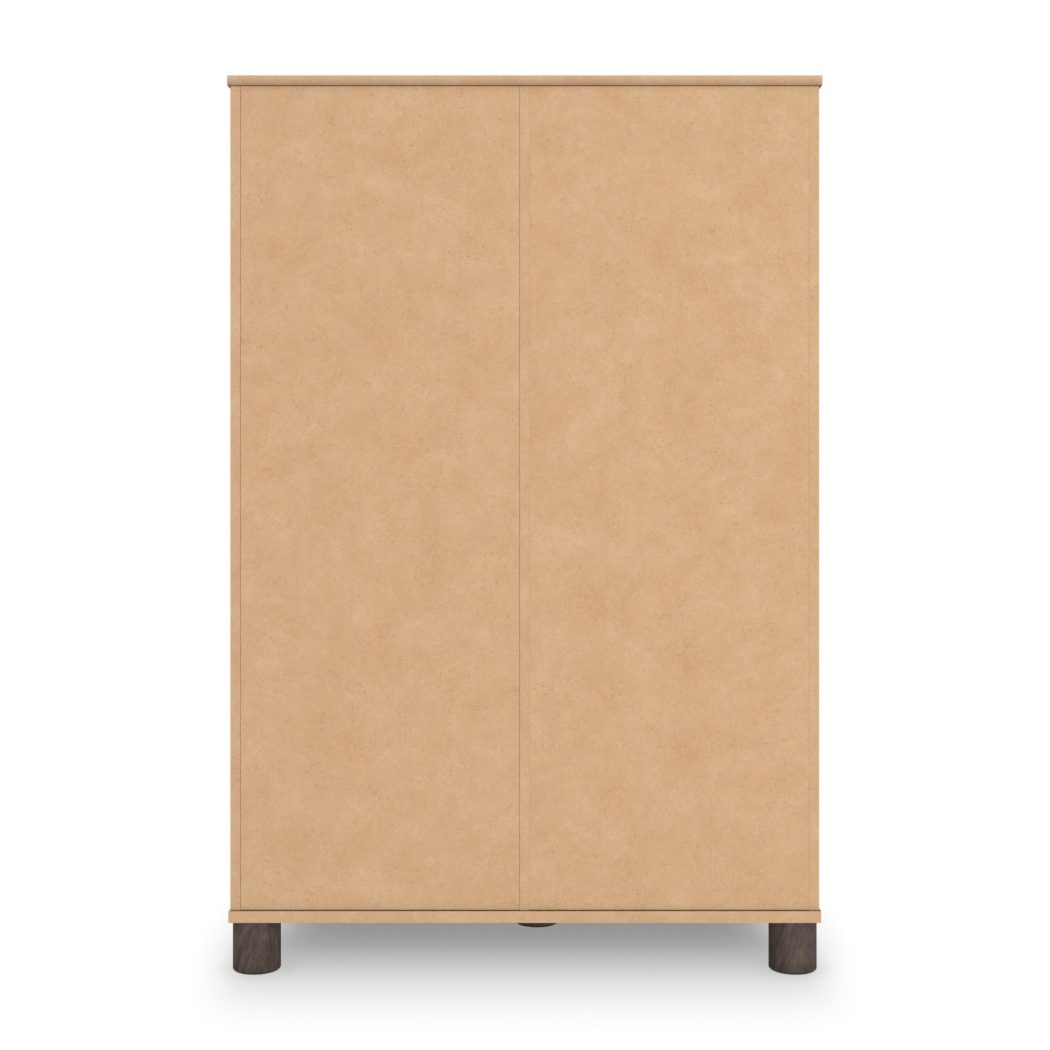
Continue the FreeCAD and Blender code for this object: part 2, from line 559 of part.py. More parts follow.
def handle(label, x, z, along):
    """A round bar on two posts, each with a small rose, screwed on from behind."""
    ybar = "(%s-bar_out)" % YF
    if along == "z":
        bar = rod("z", x, ybar, "(%s-bar_long/2)" % z, "bar_radius", "bar_long", "bar")
        spots = [(x, "(%s-post_half)" % z), (x, "(%s+post_half)" % z)]
    else:
        bar = rod("x", "(%s-bar_long/2)" % x, ybar, z, "bar_radius", "bar_long", "bar")
        spots = [("(%s-post_half)" % x, z), ("(%s+post_half)" % x, z)]
    soft = doc.addObject("Part::Fillet", fresh("rounded"))
    soft.Base = bar
    doc.recompute()
    soft.Edges = [(i + 1, 1.5, 1.5) for i, e in enumerate(bar.Shape.Edges) if e.Curve.TypeId == "Part::GeomCircle"]
    parts = [soft]
    tools = []
    screws = []
    for px, pz in spots:
        parts.append(rod("-y", px, YF, pz, "post_radius", "bar_out", "post"))
        parts.append(rod("-y", px, YF, pz, "rose_radius", "rose_thick", "rose"))
        tools.append(rod("-y", px, YF, pz, "bolt_slim", "bolt_in_post", "thread"))
        screws.append(fuse([rod("y", px, YD, pz, "bolt_head", "bolt_head_thick", "head"),
                            rod("-y", px, YD, pz, "bolt_slim", "front_thick+bolt_in_post", "shank")], "screw"))
    node(cut(fuse(parts, "handle"), tools, "handle"), label)
    node(group(screws), label + "_screws")
    return spots


# ---------------------------------------------------------------- doors
for s in (L, R):
    name = NAME[s]
    x, dx = span(s, INNER, EDGE)
    hx = at(s, "(%s+handle_in)" % INNER)
    spots = [(hx, "(door_handle_up-post_half)"), (hx, "(door_handle_up+post_half)")]
    hinge_face = "+x" if s > 0 else "-x"
    board("%s_door_leaf" % name, x, YF, DOOR_LOW, dx, "front_thick", "(%s-%s)" % (DOOR_HIGH, DOOR_LOW), [
        dict(face="-y", depth="front_thick", radius="bolt_slim", holes=[(px, YF, pz) for px, pz in spots]),
        dict(face=hinge_face, depth="hinge_screw_long-leaf_thick", radius="thin_screw", holes=[("0", YLEAF, z) for z in HINGE_SCREWS]),
    ])
    leaves, screws = [], []
    for z in HINGES:
        one, some = leaf(s, z, False)
        leaves.append(one)
        screws += some
    node(group(leaves), "%s_door_hinge_leaves" % name)
    node(group(screws), "%s_door_hinge_screws" % name)
    handle("%s_door_handle" % name, hx, "door_handle_up", "z")
    px, pdx = span(s, "(%s+0.5)" % INNER, "(%s+catch_wide)" % INNER)
    plate = box(px, YD, "catch_up+2", pdx, "strike_thick", "catch_tall-4", "strike")
    node(plate, "%s_door_strike_plate" % name)

# ---------------------------------------------------------------- drawers and the cleats they run on
cleats, cleat_screws = [], []
for s in (L, R):
    name = NAME[s]
    zf = "(%s+reveal)" % ZB
    tall = "(bay_tall-2*reveal)"
    zs = "(%s+drawer_foot)" % ZB
    zbot = "(%s+bottom_up)" % zs
    near, far = "(%s+drawer_free)" % XM, "(%s-drawer_free)" % XI
    y_end = "(%s+drawer_deep)" % YD
    hx = at(s, "((%s+%s)/2)" % (XM, XI))
    front_near, front_far = "(%s+reveal)" % XM, "(%s-reveal)" % XI
    x, dx = span(s, front_near, front_far)
    walls = {"inner": (near, "(%s+slab)" % near), "outer": ("(%s-slab)" % far, far)}
    pockets = [dict(face="-y", depth="front_thick", radius="bolt_slim",
                    holes=[("(%s-post_half)" % hx, YF, "drawer_handle_up"), ("(%s+post_half)" % hx, YF, "drawer_handle_up")])]
    for a, b in walls.values():
        wx, wdx = span(s, a, b)
        pockets.append(dict(face="+y", depth="housing", rect=((wx, YD, zs), ("(%s)+(%s)" % (wx, wdx), YD, "(%s+drawer_tall)" % zs))))
    bx, bdx = span(s, "(%s+slab-bottom_in)" % near, "(%s-slab+bottom_in)" % far)
    ix, idx = span(s, "(%s+slab)" % near, "(%s-slab)" % far)
    pockets.append(dict(face="+y", depth="bottom_in", rect=((ix, YD, zbot), ("(%s)+(%s)" % (ix, idx), YD, "(%s+bottom_thick)" % zbot))))
    board("%s_drawer_front" % name, x, YF, zf, dx, "front_thick", tall, pockets)
    for which, (a, b) in walls.items():
        wx, wdx = span(s, a, b)
        outward = (which == "outer") == (s > 0)      # True when the side's outside faces +x
        out_face, in_face = ("+x", "-x") if outward else ("-x", "+x")
        ys = "(%s-housing)" % YD
        length = "(drawer_deep+housing)"
        groove_low = "(%s-cleat_tall/2-groove_free)" % CLEAT_MID
        groove_high = "(%s+cleat_tall/2+groove_free)" % CLEAT_MID
        board("%s_drawer_%s_side" % (name, which), wx, ys, zs, wdx, length, "drawer_tall", [
            dict(face=out_face, depth="groove_deep", rect=(("0", YD, groove_low), ("0", "(%s+1)" % y_end, groove_high))),
            dict(face=in_face, depth="bottom_in", rect=(("0", "(%s-bottom_in)" % YD, zbot), ("0", "(%s+1)" % y_end, "(%s+bottom_thick)" % zbot))),
            dict(face=in_face, depth="back_in", rect=(("0", "(%s-2*slab)" % y_end, "(%s+bottom_thick)" % zbot), ("0", "(%s-slab)" % y_end, "(%s+drawer_tall+1)" % zs))),
        ])
    kx, kdx = span(s, "(%s+slab-back_in)" % near, "(%s-slab+back_in)" % far)
    board("%s_drawer_back" % name, kx, "(%s-2*slab)" % y_end, "(%s+bottom_thick)" % zbot, kdx, "slab", "(drawer_tall-bottom_up-bottom_thick)")
    # the bottom is tongued into the front between the sides and runs in their grooves
    bottom = board("%s_drawer_bottom" % name, bx, YD, zbot, bdx, "drawer_deep-4", "bottom_thick")
    handle("%s_drawer_handle" % name, hx, "drawer_handle_up", "x")
    for side_at, direction in ((XI, "out"), (XM, "in")):
        if direction == "out":
            cx, cdx = span(s, "(%s-cleat_thick)" % XI, XI)
            lip, axis = at(s, "(%s-cleat_thick)" % XI), away(s)
        else:
            cx, cdx = span(s, XM, "(%s+cleat_thick)" % XM)
            lip, axis = at(s, "(%s+cleat_thick)" % XM), toward(s)
        bar = box(cx, CLEAT_Y, "(%s-cleat_tall/2)" % CLEAT_MID, cdx, "cleat_long", "cleat_tall", "cleat")
        tools = []
        for y in CLEAT_SCREWS:
            tools.append(fuse([cone(axis, lip, y, CLEAT_MID, "wood_head", "wood_screw", "wood_sink", "sink"),
                               rod(axis, lip, y, CLEAT_MID, "wood_screw", "cleat_thick", "way")], "sunk"))
            cleat_screws.append(fuse([cone(axis, lip, y, CLEAT_MID, "wood_head", "wood_screw", "wood_sink", "head"),
                                      rod(axis, lip, y, CLEAT_MID, "wood_screw", "cleat_thick+screw_in_wood", "shank")], "screw"))
        cleats.append(cut(bar, tools, "cleat"))
node(group(cleats), "drawer_cleats")
node(group(cleat_screws), "cleat_screws")

# ---------------------------------------------------------------- recompute, test and write
doc.recompute()
bad = []
for o in doc.Objects:
    if "Invalid" in o.State or "Error" in o.State:
        bad.append("%s (%s) is %s" % (o.Name, o.Label, o.State))
labels = [n.Label for n in nodes]
if len(set(labels)) != len(labels) or len(labels) > 60:
    bad.append("labels repeat or are too many: %d" % len(labels))
for n in nodes:
    shape = n.Shape
    if shape.isNull() or not shape.isValid() or not shape.Solids:
        bad.append("%s has no valid shape" % n.Label)
if bad:
    print("\n".join(bad))
    sys.exit(1)

os.makedirs("parts", exist_ok=True)
for n in nodes:
    n.Shape.exportStep("parts/%s.step" % n.Label)
    b = n.Shape.BoundBox
    print("%-28s solids %2d volume %11.1f  x %8.2f %8.2f  y %8.2f %8.2f  z %8.2f %8.2f" % (
        n.Label, len(n.Shape.Solids), n.Shape.Volume, b.XMin, b.XMax, b.YMin, b.YMax, b.ZMin, b.ZMax))
print(len(nodes), "nodes")
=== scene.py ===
import bpy
import math
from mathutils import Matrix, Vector


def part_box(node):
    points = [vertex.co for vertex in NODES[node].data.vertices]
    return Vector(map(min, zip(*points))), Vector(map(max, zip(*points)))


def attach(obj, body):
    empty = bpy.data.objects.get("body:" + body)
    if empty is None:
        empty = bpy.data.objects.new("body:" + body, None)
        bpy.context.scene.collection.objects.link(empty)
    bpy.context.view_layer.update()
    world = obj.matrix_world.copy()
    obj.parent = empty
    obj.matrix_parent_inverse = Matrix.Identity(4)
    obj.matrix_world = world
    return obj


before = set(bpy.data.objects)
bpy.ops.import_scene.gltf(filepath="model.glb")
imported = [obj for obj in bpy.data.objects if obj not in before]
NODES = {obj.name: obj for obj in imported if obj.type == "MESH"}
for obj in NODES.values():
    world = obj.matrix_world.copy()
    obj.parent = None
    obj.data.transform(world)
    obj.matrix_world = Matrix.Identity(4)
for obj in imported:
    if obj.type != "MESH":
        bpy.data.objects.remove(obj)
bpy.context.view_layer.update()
scene = bpy.context.scene
scene.view_settings.view_transform = "Standard"
scene.view_settings.look = "None"
scene.view_settings.exposure = 0.0
scene.view_settings.gamma = 1.0


# ------------------------------------------------------------------ node helpers
def lin(rgb):
    """sRGB 0-255 to linear."""
    out = []
    for c in rgb:
        c = c / 255.0
        out.append(c / 12.92 if c <= 0.04045 else ((c + 0.055) / 1.055) ** 2.4)
    return tuple(out) + (1.0,)


class Nodes:
    def __init__(self, name):
        self.mat = bpy.data.materials.new(name)
        self.mat.use_nodes = True
        self.t = self.mat.node_tree
        self.t.nodes.clear()
        self.out = self.t.nodes.new("ShaderNodeOutputMaterial")
        self.shader = self.t.nodes.new("ShaderNodeBsdfPrincipled")
        self.t.links.new(self.shader.outputs[0], self.out.inputs["Surface"])
        self._co = None

    def put(self, socket, value):
        if isinstance(value, bpy.types.NodeSocket):
            self.t.links.new(value, socket)
        elif value is not None:
            socket.default_value = value

    def node(self, kind, inputs=None, **attrs):
        n = self.t.nodes.new(kind)
        for k, v in attrs.items():
            setattr(n, k, v)
        for k, v in (inputs or {}).items():
            self.put(n.inputs[k], v)
        return n

    def set(self, **kw):
        names = {"color": "Base Color", "rough": "Roughness", "metal": "Metallic", "normal": "Normal",
                 "coat": "Coat Weight", "coat_rough": "Coat Roughness", "ior": "IOR", "spec": "Specular IOR Level",
                 "sheen": "Sheen Weight", "sheen_rough": "Sheen Roughness", "aniso": "Anisotropic"}
        for k, v in kw.items():
            self.put(self.shader.inputs[names[k]], v)
        return self.mat

    @property
    def co(self):
        if self._co is None:
            self._co = self.t.nodes.new("ShaderNodeTexCoord")
        return self._co.outputs["Object"]

    @property
    def facing(self):
        self.co
        return self._co.outputs["Normal"]

    def math(self, op, a, b=None, c=None, clamp=False):
        n = self.node("ShaderNodeMath", operation=op, use_clamp=clamp)
        for i, v in enumerate((a, b, c)):
            self.put(n.inputs[i], v)
        return n.outputs[0]

    def vec(self, op, a, b=None):
        n = self.node("ShaderNodeVectorMath", operation=op)
        self.put(n.inputs[0], a)
        if b is not None:
            if op == "SCALE":
                self.put(n.inputs["Scale"], b)
            else:
                self.put(n.inputs[1], b)
        return n.outputs["Value"] if op in ("LENGTH", "DOT_PRODUCT", "DISTANCE") else n.outputs["Vector"]

    def split(self, v):
        return self.node("ShaderNodeSeparateXYZ", {0: v}).outputs

    def join(self, x, y, z):
        return self.node("ShaderNodeCombineXYZ", {0: x, 1: y, 2: z}).outputs[0]

    def noise(self, v, scale, detail=2.0, rough=0.5, distort=0.0, color=False):
        n = self.node("ShaderNodeTexNoise", {"Vector": v, "Scale": scale, "Detail": detail, "Roughness": rough, "Distortion": distort})
        return n.outputs["Color" if color else "Fac"]

    def voronoi(self, v, scale, feature="F1", rnd=1.0, out="Distance"):
        n = self.node("ShaderNodeTexVoronoi", {"Vector": v, "Scale": scale, "Randomness": rnd}, feature=feature)
        return n.outputs[out]

    def map(self, v, lo, hi, a=0.0, b=1.0, smooth=False):
        n = self.node("ShaderNodeMapRange", {0: v, 1: lo, 2: hi, 3: a, 4: b}, interpolation_type="SMOOTHSTEP" if smooth else "LINEAR")
        return n.outputs[0]

    def mix(self, fac, a, b, blend="MIX"):
        n = self.t.nodes.new("ShaderNodeMix")
        n.data_type = "RGBA"
        n.blend_type = blend
        n.clamp_factor = True
        self.put(n.inputs[0], fac)
        self.put(n.inputs[6], a)
        self.put(n.inputs[7], b)
        return n.outputs[2]

    def mixf(self, fac, a, b):
        n = self.t.nodes.new("ShaderNodeMix")
        n.data_type = "FLOAT"
        self.put(n.inputs[0], fac)
        self.put(n.inputs[2], a)
        self.put(n.inputs[3], b)
        return n.outputs[0]

    def ramp(self, fac, stops, interp="LINEAR"):
        n = self.node("ShaderNodeValToRGB", {0: fac})
        n.color_ramp.interpolation = interp
        el = n.color_ramp.elements
        while len(el) > 1:
            el.remove(el[-1])
        el[0].position, el[0].color = stops[0][0], stops[0][1]
        for p, c in stops[1:]:
            e = el.new(p)
            e.color = c
        return n.outputs[0]

    def bump(self, height, strength=0.3, distance=0.001, normal=None):
        return self.node("ShaderNodeBump", {"Height": height, "Strength": strength, "Distance": distance, "Normal": normal}).outputs[0]


def grey(v):
    return (v, v, v, 1.0)


# ------------------------------------------------------------------ raw fibreboard
MDF_MEAN = (209.0, 169.6, 130.8)
DOME = 0.44         # how strongly the white surroundings light the object
KEY = 281.0         # broad soft lamps, watts


def fibreboard(n, shift=(0.0, 0.0, 0.0), gain=1.0, tone=(0.0, 0.0, 0.0)):
    """Colour, roughness and height of bare medium-density fibreboard: fractal mottling with crisp specks in clusters."""
    p = n.vec("ADD", n.co, shift)
    # mottling: every octave about as strong as the next, from about 100 mm down to about 3 mm
    big = n.noise(p, 13.0, 5.0, 0.90, 0.25)
    fine = n.noise(n.vec("ADD", p, (3.1, 1.7, 5.3)), 330.0, 2.0, 0.9)
    hue = n.noise(n.vec("ADD", p, (7.3, 2.9, 0.4)), 30.0, 4.0, 0.85, 0.3)
    m = n.math("ADD", n.math("SUBTRACT", big, 0.5), n.math("MULTIPLY", n.math("SUBTRACT", fine, 0.5), 0.50))
    m = n.math("MULTIPLY_ADD", m, 0.95, 0.5)
    mean = tuple(c + t for c, t in zip(MDF_MEAN, tone))
    k = 27.0 * gain
    lo = lin([c - k * w for c, w in zip(mean, (0.64, 1.00, 1.16))])
    hi = lin([min(255, c + k * w) for c, w in zip(mean, (0.64, 1.00, 1.16))])
    c = n.ramp(m, [(0.0, lo), (0.5, lin(mean)), (1.0, hi)])
    # warmer and greyer patches
    q = 8.0 * gain
    warm = n.ramp(hue, [(0.0, lin([c0 + q * w for c0, w in zip((188, 188, 188), (-0.86, 0.13, 0.6))])),
                        (0.5, lin((188, 188, 188))),
                        (1.0, lin([c0 + q * w for c0, w in zip((188, 188, 188), (0.86, -0.13, -0.6))]))])
    c = n.mix(1.0, c, warm, "MULTIPLY")
    c = n.mix(1.0, c, (1 / 0.5029,) * 3 + (1.0,), "MULTIPLY")
    # crisp curled specks of darker and paler fibre, thick in some places and missing in others
    curl = n.vec("ADD", p, n.vec("SCALE", n.vec("SUBTRACT", n.noise(p, 160.0, 2.0, 0.6, color=True), (0.5, 0.5, 0.5)), 0.010))
    knots = n.noise(curl, 340.0, 2.0, 0.7)
    where = n.noise(n.vec("ADD", p, (9.0, 4.0, 1.0)), 42.0, 3.0, 0.8)
    dark = n.math("MULTIPLY", n.map(knots, 0.565, 0.67), n.map(where, 0.46, 0.64, 0.12, 1.5))
    c = n.mix(n.math("MULTIPLY", dark, 0.38 * gain), c, lin((166, 118, 74)))
    pale = n.math("MULTIPLY", n.map(knots, 0.435, 0.33), n.map(where, 0.40, 0.68, 0.25, 1.3))
    c = n.mix(n.math("MULTIPLY", pale, 0.30 * gain), c, lin((230, 198, 158)))
    height = n.math("ADD", n.math("MULTIPLY", knots, 0.6), n.math("MULTIPLY", n.noise(p, 1500.0, 2.0, 0.6), 0.4))
    rough = n.map(big, 0.3, 0.7, 0.86, 0.94)
    return c, rough, height


def raw_board(name, shift, tone=(0, 0, 0)):
    n = Nodes(name)
    c, r, h = fibreboard(n, shift, 1.0, tone)
    # painted shade: the edges that face into the seams are drawn much darker, as shade deep in the gaps; the inside
    # face is laminated like the rest of the interior
    fx, fy, fz = n.split(n.facing)[:3]
    seam_edge_shade = n.map(n.math("ABSOLUTE", fx), 0.70, 0.74)
    c = n.mix(seam_edge_shade, c, n.mix(1.0, c, (0.42, 0.38, 0.34, 1.0), "MULTIPLY"))
    dc, dr, dh = dark_wood(n, "z", shift, LAMINATE)
    front = n.map(fy, -0.74, -0.70, 1.0, 0.0)
    c = n.mix(front, c, dc)
    r = n.mixf(front, r, dr)
    h = n.mixf(front, h, dh)
    return n.set(color=c, rough=r, spec=0.25, normal=n.bump(h, 0.22, 0.0004))


# ------------------------------------------------------------------ dark wood
def grain_space(n, along, shift, warp=0.012, twist=0.0):
    """Object coordinates with the grain turned to run along the local Z axis, gently wandering."""
    p = n.vec("ADD", n.co, shift)
    x, y, z = n.split(p)[:3]
    p = {"z": n.join(x, y, z), "x": n.join(y, z, x), "y": n.join(z, x, y)}[along]
    wander = n.noise(n.vec("MULTIPLY", p, (2.2, 2.2, 0.9)), 1.0, 2.0, 0.5, color=True)
    wander = n.vec("SCALE", n.vec("SUBTRACT", wander, (0.5, 0.5, 0.5)), warp)
    p = n.vec("ADD", p, wander)
    if twist:
        x, y, z = n.split(p)[:3]
        p = n.join(n.math("MULTIPLY_ADD", z, twist, x), n.math("MULTIPLY_ADD", z, -twist * 0.6, y), z)
    return p


def dark_wood(n, along, shift, tones):
    """Colour, roughness and height of dark grey-brown wood grain."""
    p = grain_space(n, along, shift, 0.035)
    # growth figure: long bands that narrow and widen, with a few tall arches
    field = n.noise(n.vec("MULTIPLY", p, (1.0, 1.0, 0.055)), 7.5, 2.0, 0.4, 0.25)
    bands = n.math("SINE", n.math("MULTIPLY", field, 92.0))
    bands = n.math("MULTIPLY_ADD", bands, 0.5, 0.5)
    streak = n.noise(n.vec("MULTIPLY", p, (1.0, 1.0, 0.022)), 170.0, 5.0, 0.76)
    broad = n.noise(n.vec("MULTIPLY", p, (1.0, 1.0, 0.06)), 14.0, 3.0, 0.55)
    f = n.math("MULTIPLY_ADD", bands, 0.12, n.math("MULTIPLY", streak, 0.80))
    f = n.math("MULTIPLY_ADD", broad, 0.34, f)
    f = n.map(f, 0.42, 0.86)
    c = n.ramp(f, [(0.0, lin(tones[0])), (0.34, lin(tones[1])), (0.66, lin(tones[2])), (1.0, lin(tones[3]))])
    # open pores: short thin dark dashes along the grain, thicker in the darker bands
    pore_field = n.noise(n.vec("MULTIPLY", n.vec("ADD", p, (0.7, 0.3, 0.1)), (1.0, 1.0, 0.040)), 760.0, 2.0, 0.55)
    pore = n.map(n.math("MULTIPLY_ADD", bands, -0.05, pore_field), 0.555, 0.64)
    c = n.mix(n.math("MULTIPLY", pore, 0.62), c, lin(tones[4]))
    # faint pale ticks
    tick = n.map(n.noise(n.vec("MULTIPLY", n.vec("ADD", p, (0.2, 0.9, 0.6)), (1.0, 1.0, 0.05)), 560.0, 2.0, 0.5), 0.62, 0.72)
    c = n.mix(n.math("MULTIPLY", tick, 0.25), c, lin(tones[3]))
    height = n.math("MULTIPLY_ADD", pore, -1.0, n.math("MULTIPLY", streak, 0.55))
    rough = n.math("MULTIPLY_ADD", pore, 0.16, n.map(streak, 0.3, 0.7, 0.38, 0.52))
    return c, rough, height


LAMINATE = ((50, 42, 38), (70, 59, 53), (87, 74, 66), (112, 98, 87), (36, 29, 26))


def board_material(name, along, shift, bare=True, rebate=0.0, rolled_edge_shade=False, tones=LAMINATE):
    """A laminated board. Faces that look straight back carry no laminate and show the bare core. So does the strip
    of an upright's inner face that the back boards butt against (rebate: +1 or -1 for a face towards +X or -X, 2 for both)."""
    n = Nodes(name)
    c, r, h = dark_wood(n, along, shift, tones)
    # slight handling marks: faint cloudy scuffs in the finish
    scuff = n.map(n.noise(n.vec("ADD", n.co, shift), 9.0, 5.0, 0.7, 0.4), 0.52, 0.78)
    r = n.math("MULTIPLY_ADD", scuff, 0.10, r)
    c = n.mix(n.math("MULTIPLY", scuff, 0.05), c, lin((150, 138, 126)))
    if bare:
        fx, fy, fz = n.split(n.facing)[:3]
        back = n.map(fy, 0.70, 0.74)
        if rebate:
            side = n.math("ABSOLUTE", fx) if rebate == 2 else n.math("MULTIPLY", fx, rebate)
            strip = n.math("MULTIPLY", n.map(side, 0.70, 0.74), n.map(n.split(n.co)[1], 0.2905, 0.2907))
            back = n.math("MAXIMUM", back, strip)
        mc, mr, mh = fibreboard(n, shift)
        if rebate:
            # painted shade: the bare strip where the back boards butt is drawn darker, as shade in the seam
            mc = n.mix(strip, mc, n.mix(1.0, mc, grey(0.8), "MULTIPLY"))
        if rolled_edge_shade:
            # painted shade: the bare rear edge is drawn darker toward its lower arris, as an eased edge catches less
            # light there, with a faint painted highlight near its top
            z = n.split(n.co)[2]
            roll_shade = n.ramp(n.map(z, 1.3630, 1.3780), [(0.0, grey(0.60)), (0.10, grey(0.66)), (0.25, grey(0.75)), (0.50, grey(0.87)), (0.75, grey(1.0)), (0.9, grey(1.03)), (1.0, grey(0.96))])
            mc = n.mix(1.0, mc, roll_shade, "MULTIPLY")
        c = n.mix(back, c, mc)
        r = n.mixf(back, r, mr)
        h = n.mixf(back, h, mh)
    return n.set(color=c, rough=r, spec=0.38, normal=n.bump(h, 0.28, 0.00035))


def worn_edge(name, shift, along, bare=True, arris_shade=1.0):
    """The arris of a laminated board: the foil rubbed a little thinner and lighter in places."""
    n = Nodes(name)
    p = n.vec("ADD", n.co, shift)
    c, r, h = dark_wood(n, along, shift, LAMINATE)
    rub = n.map(n.noise(p, 26.0, 5.0, 0.7, 0.4), 0.44, 0.70)
    rub = n.math("MULTIPLY", rub, n.map(n.noise(p, 420.0, 2.0, 0.6), 0.3, 0.7, 0.35, 1.0))
    c = n.mix(n.math("MULTIPLY_ADD", rub, 0.42, 0.10), c, lin((158, 136, 116)))
    if not bare:
        return n.set(color=c, rough=0.5, spec=0.35, normal=n.bump(h, 0.15, 0.0003))
    y = n.split(n.facing)[1]
    back = n.map(y, 0.20, 0.30)
    mc, mr, mh = fibreboard(n, shift)
    # painted shade: the bare core on the rear arris is multiplied down by this factor, as shade on the turned edge
    c = n.mix(back, c, n.mix(1.0, mc, grey(arris_shade), "MULTIPLY"))
    return n.set(color=c, rough=n.mixf(back, 0.5, 0.9), spec=0.35, normal=n.bump(h, 0.15, 0.0003))


def leg_material(name, shift):
    """Dark stained wood: patchy purple-brown and olive-brown, with steep streaks that lean as they rise."""
    n = Nodes(name)
    p = grain_space(n, "z", shift, 0.05, 0.30)
    patch = n.noise(n.vec("MULTIPLY", p, (1.0, 1.0, 0.45)), 42.0, 3.0, 0.6, 0.4)
    streak = n.noise(n.vec("MULTIPLY", p, (1.0, 1.0, 0.10)), 150.0, 4.0, 0.7, 0.2)
    thread = n.noise(n.vec("MULTIPLY", n.vec("ADD", p, (0.4, 0.8, 0.2)), (1.0, 1.0, 0.055)), 420.0, 2.0, 0.6)
    c = n.ramp(n.map(patch, 0.34, 0.66), [(0.0, lin((74, 68, 57))), (0.4, lin((84, 72, 64))), (0.72, lin((92, 73, 71))), (1.0, lin((98, 84, 72)))])
    c = n.mix(1.0, c, n.ramp(n.map(streak, 0.30, 0.72), [(0.0, grey(0.52)), (0.45, grey(0.92)), (0.8, grey(1.18)), (1.0, grey(1.5))]), "MULTIPLY")
    c = n.mix(n.math("MULTIPLY", n.map(thread, 0.60, 0.70), 0.45), c, lin((44, 36, 32)))
    c = n.mix(n.math("MULTIPLY", n.map(thread, 0.38, 0.30), 0.28), c, lin((132, 110, 98)))
    z = n.split(n.co)[2]
    # painted shade: the last 20 mm above the floor are drawn darker in patches, as contact shade at the foot, and made
    # a little rougher
    foot_shade = n.math("MULTIPLY", n.map(z, 0.020, 0.001), n.map(n.noise(n.co, 60.0, 3.0, 0.6), 0.25, 0.7, 0.35, 1.0))
    c = n.mix(n.math("MULTIPLY", foot_shade, 0.45), c, lin((52, 46, 42)))
    r = n.math("ADD", n.map(streak, 0.3, 0.7, 0.46, 0.62), n.math("MULTIPLY", foot_shade, 0.15))
    h = n.math("ADD", n.math("MULTIPLY", streak, 0.5), n.math("MULTIPLY", n.map(thread, 0.60, 0.70), -0.7))
    return n.set(color=c, rough=r, spec=0.22, normal=n.bump(h, 0.30, 0.0005))


# ------------------------------------------------------------------ metals, plastic, felt, pale boards
def brushed(name, tone, rough=0.30, along="z", var=0.06, dull=(0.5, 0.5, 0.5)):
    n = Nodes(name)
    x, y, z = n.split(n.co)[:3]
    p = {"z": n.join(x, y, n.math("MULTIPLY", z, 0.04)), "x": n.join(n.math("MULTIPLY", x, 0.04), y, z), "none": n.co}[along]
    lines = n.noise(p, 2600.0, 3.0, 0.6)
    cloud = n.noise(n.co, 70.0, 4.0, 0.6)
    c = n.mix(n.map(cloud, 0.35, 0.7), lin(tone), lin([t * (1 - var * 2) for t in tone]))
    r = n.math("ADD", n.map(lines, 0.3, 0.7, rough - 0.07, rough + 0.09), n.map(cloud, 0.4, 0.75, 0.0, 0.08))
    return n.set(color=c, metal=1.0, rough=r, normal=n.bump(lines, 0.10, 0.0002))


def zinc(name):
    n = Nodes(name)
    flakes = n.voronoi(n.co, 700.0, out="Color")
    v = n.split(flakes)[0]
    cloud = n.noise(n.co, 160.0, 4.0, 0.6)
    c = n.mix(v, lin((176, 176, 172)), lin((150, 151, 148)))
    c = n.mix(n.map(cloud, 0.55, 0.8, 0.0, 0.5), c, lin((120, 116, 104)))
    return n.set(color=c, metal=1.0, rough=n.map(cloud, 0.3, 0.8, 0.30, 0.5), normal=n.bump(cloud, 0.1, 0.0002))


def chrome(name):
    n = Nodes(name)
    smear = n.noise(n.vec("MULTIPLY", n.co, (0.2, 1.0, 1.0)), 90.0, 3.0, 0.6)
    return n.set(color=n.mix(n.map(smear, 0.4, 0.8), lin((214, 214, 216)), lin((196, 196, 198))), metal=1.0,
                 rough=n.map(smear, 0.35, 0.8, 0.07, 0.20), normal=n.bump(smear, 0.03, 0.0002))


def moulded(name, tone):
    n = Nodes(name)
    g = n.noise(n.co, 2200.0, 2.0, 0.6)
    cloud = n.noise(n.co, 120.0, 3.0, 0.6)
    c = n.mix(n.map(cloud, 0.3, 0.8), lin(tone), lin([t * 1.35 + 6 for t in tone]))
    return n.set(color=c, rough=n.map(cloud, 0.3, 0.8, 0.42, 0.60), normal=n.bump(g, 0.25, 0.0002))


def felt(name):
    n = Nodes(name)
    fib = n.noise(n.vec("ADD", n.co, n.vec("SCALE", n.noise(n.co, 500.0, 2.0, 0.5, color=True), 0.004)), 1600.0, 3.0, 0.7)
    c = n.mix(fib, lin((12, 11, 10)), lin((26, 23, 21)))
    return n.set(color=c, rough=0.95, spec=0.05, sheen=0.05, sheen_rough=0.5, normal=n.bump(fib, 0.5, 0.0006))


def pale_wood(name, along, tones, shift=(0, 0, 0), rough=0.5):
    n = Nodes(name)
    p = grain_space(n, along, shift, 0.03)
    streak = n.noise(n.vec("MULTIPLY", p, (1.0, 1.0, 0.04)), 120.0, 4.0, 0.7)
    broad = n.noise(n.vec("MULTIPLY", p, (1.0, 1.0, 0.1)), 18.0, 2.0, 0.5)
    fleck = n.map(n.noise(n.vec("MULTIPLY", p, (1.0, 1.0, 0.09)), 700.0, 2.0, 0.5), 0.60, 0.72)
    f = n.math("MULTIPLY_ADD", streak, 0.6, n.math("MULTIPLY", broad, 0.5))
    c = n.ramp(n.map(f, 0.35, 0.78), [(0.0, lin(tones[0])), (0.5, lin(tones[1])), (1.0, lin(tones[2]))])
    c = n.mix(n.math("MULTIPLY", fleck, 0.35), c, lin(tones[3]))
    h = n.math("MULTIPLY_ADD", fleck, -0.6, streak)
    return n.set(color=c, rough=n.map(streak, 0.3, 0.7, rough, rough + 0.12), spec=0.35, normal=n.bump(h, 0.2, 0.0003))


